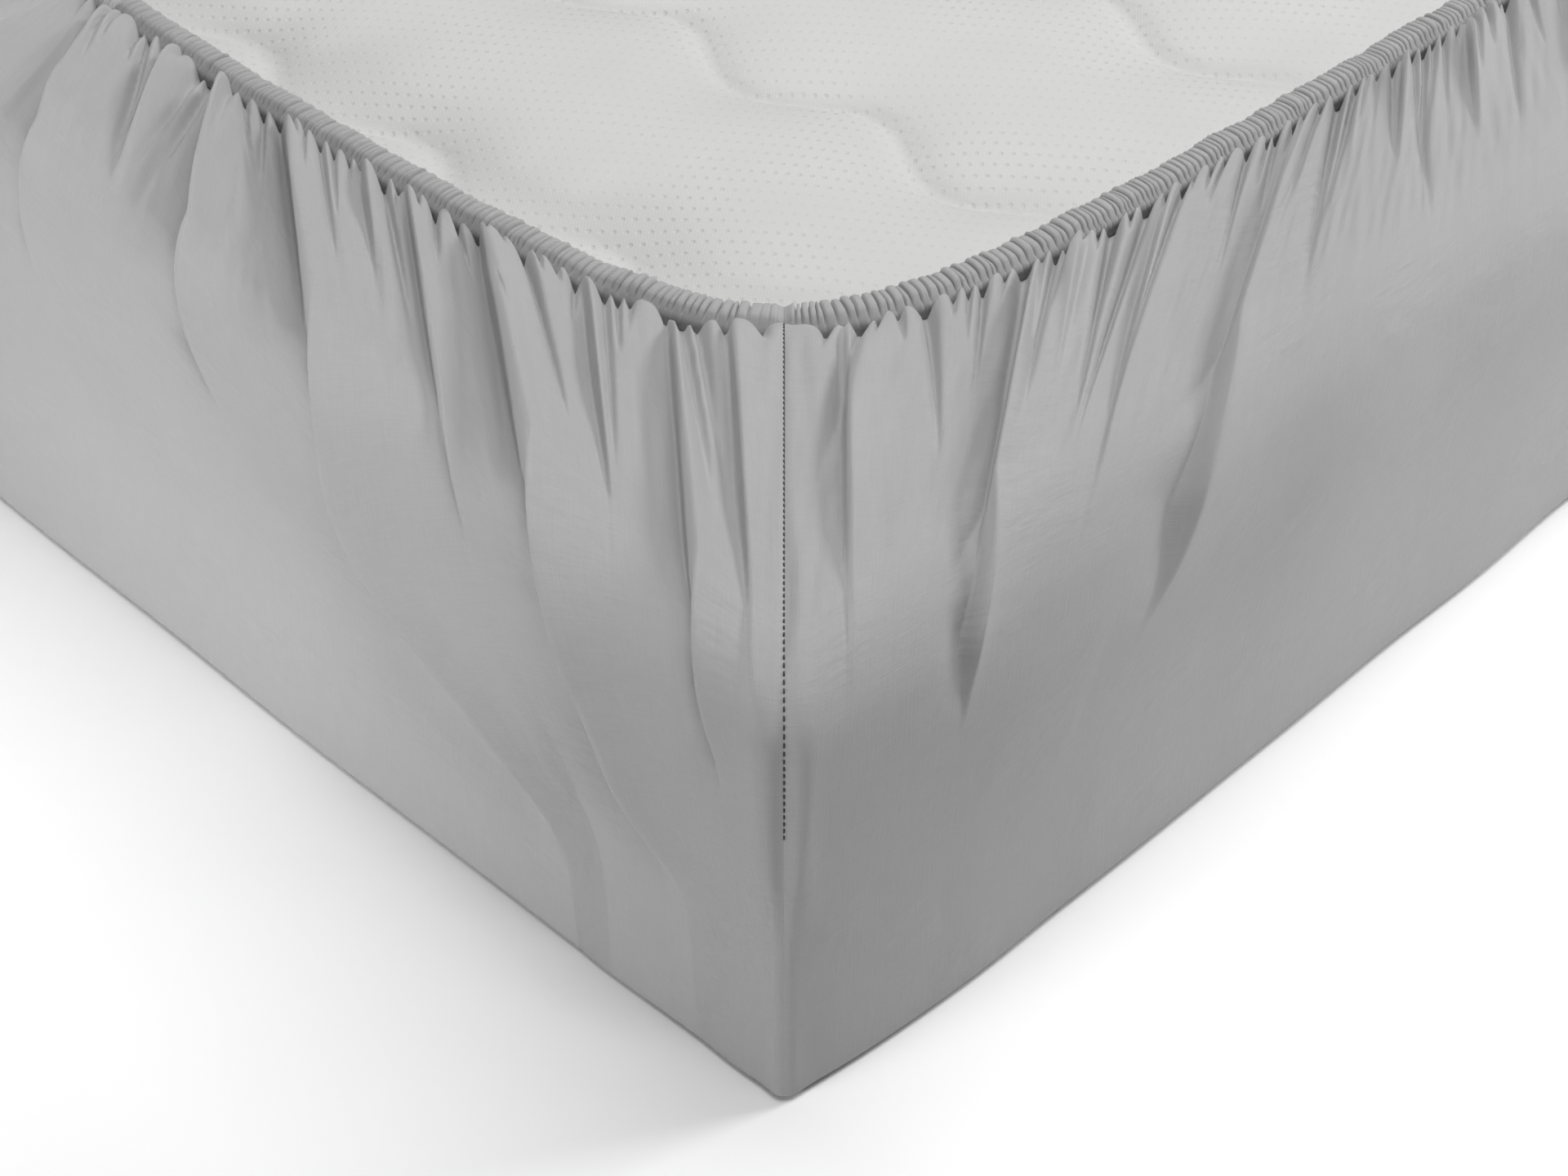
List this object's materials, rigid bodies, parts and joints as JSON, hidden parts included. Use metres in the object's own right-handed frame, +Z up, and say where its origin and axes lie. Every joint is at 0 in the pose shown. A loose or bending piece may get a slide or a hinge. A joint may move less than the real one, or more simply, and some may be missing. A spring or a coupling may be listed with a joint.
{
  "type": "fitted sheet on a mattress",
  "caption": "Elastic-hemmed fitted sheet pulled round a mattress lying underside up: taut walls, sewn corners, and a gathered lap with a ruched hem round the open mattress face.",
  "frame": {"origin": "on the floor under the middle of the mattress", "axes": "+Y along the mattress, +X across it, +Z up, with the hem and the mattress's underside on top"},
  "size_m": [0.9085, 2.0074, 0.214],
  "materials": {
    "sheet_cloth": "light grey woven cotton, matt",
    "mattress_cover": "off-white quilted knit, matt"
  },
  "bodies": {
    "root": {"fitted_sheet": "sheet_cloth", "mattress": "mattress_cover"}
  },
  "joints": []
}
